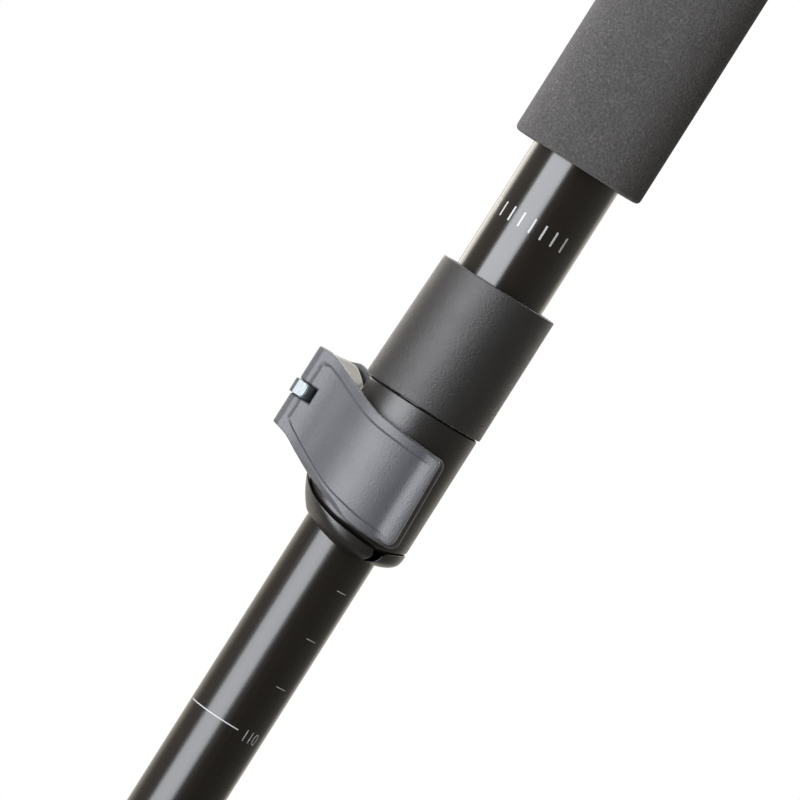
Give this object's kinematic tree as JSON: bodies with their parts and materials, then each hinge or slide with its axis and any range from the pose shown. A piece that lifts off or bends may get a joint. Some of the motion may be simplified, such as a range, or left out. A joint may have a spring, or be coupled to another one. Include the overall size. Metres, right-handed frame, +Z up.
{
  "type": "trekking pole",
  "caption": "Folding trekking pole with a foam grip, a lever clamp on a telescoping shaft, a snap-button lock, cord-tensioned folding sections, a basket and a hard tip.",
  "frame": {"origin": "the tip's contact point, on the pole's axis", "axes": "+Z up the pole towards the grip; -Y is the front, which the lever wraps; -X is the side of the lever's hinge"},
  "size_m": [0.052, 0.052, 1.136],
  "materials": {
    "foam": "fine-pored EVA foam, matt, dark grey",
    "grip": "soft moulded EVA, matt, near black",
    "cap_plastic": "fine-grained moulded plastic, near black",
    "steel": "bright plated steel",
    "black_tube": "satin black anodised and lacquered tube",
    "collar_plastic": "fine-grained glass-filled nylon, dark grey",
    "clamp_plastic": "semi-matt moulded nylon, black",
    "liner_plastic": "natural nylon",
    "wear_plate": "stamped stainless steel",
    "lever_plastic": "fine-grained moulded plastic, mid grey",
    "ferrule_metal": "clear anodised aluminium",
    "button_metal": "satin anodised aluminium",
    "spring_steel": "spring steel",
    "cord": "coated cord, black",
    "basket_plastic": "semi-matt moulded plastic, black",
    "tip_plastic": "moulded nylon, dark grey",
    "carbide": "sintered carbide, dark metal"
  },
  "bodies": {
    "upper_section": {"grip_body": "grip", "grip_cap": "cap_plastic", "strap_pin": "steel", "foam_sleeve": "foam", "upper_tube": "black_tube", "collar_sleeve": "collar_plastic", "clamp_body": "clamp_plastic", "clamp_ring": "clamp_plastic", "clamp_liner": "liner_plastic", "cam_plate": "wear_plate", "pivot_barrel": "steel", "bolt_washer": "steel"},
    "clamp_lever": {"lever": "lever_plastic"},
    "clamp_screw": {"tension_bolt": "steel"},
    "telescoping_shaft": {"scale_shaft": "black_tube", "guide_bush": "liner_plastic", "end_bush": "liner_plastic", "shaft_end_collar": "clamp_plastic", "lock_slider": "ferrule_metal", "cord_stop": "ferrule_metal", "button_spring": "spring_steel"},
    "snap_button": {"release_button": "button_metal"},
    "middle_section": {"middle_top_collar": "clamp_plastic", "middle_tube": "black_tube", "middle_end_collar": "clamp_plastic", "lower_ferrule": "ferrule_metal", "ferrule_cone": "liner_plastic"},
    "lower_section": {"lower_top_collar": "clamp_plastic", "lower_tube": "black_tube", "spring_seat": "liner_plastic", "tension_spring": "spring_steel", "cord_anchor": "ferrule_metal", "tension_cord": "cord", "tip_ferrule": "tip_plastic", "basket": "basket_plastic", "flex_tip": "tip_plastic", "carbide_tip": "carbide"}
  },
  "joints": [
    {"name": "lever_open", "type": "hinge", "parent": "upper_section", "child": "clamp_lever", "pos_m": [-0.01931, 0.00176, 0.7702], "axis": [0, 0, -1], "range_deg": [0, 135]},
    {"name": "clamp_screw_turn", "type": "hinge", "parent": "upper_section", "child": "clamp_screw", "pos_m": [-0.01931, 0.00176, 0.7702], "axis": [0.454, 0.891, 0], "continuous": true},
    {"name": "length_adjust", "type": "slide", "parent": "upper_section", "child": "telescoping_shaft", "axis": [0, 0, -1], "range_m": [-0.036, 0.164]},
    {"name": "release_button_press", "type": "slide", "parent": "telescoping_shaft", "child": "snap_button", "axis": [0, 1, 0], "range_m": [0, 0.0027], "stiffness_N_per_m": 1500, "springref_m": -0.004, "deforming": ["button_spring"]},
    {"name": "middle_section_pull", "type": "slide", "parent": "telescoping_shaft", "child": "middle_section", "axis": [0, 0, -1], "range_m": [0, 0.055], "stiffness_N_per_m": 400, "springref_m": -0.1},
    {"name": "lower_section_pull", "type": "slide", "parent": "middle_section", "child": "lower_section", "axis": [0, 0, -1], "range_m": [0, 0.055], "stiffness_N_per_m": 400, "springref_m": -0.1, "deforming": ["tension_spring"]}
  ]
}
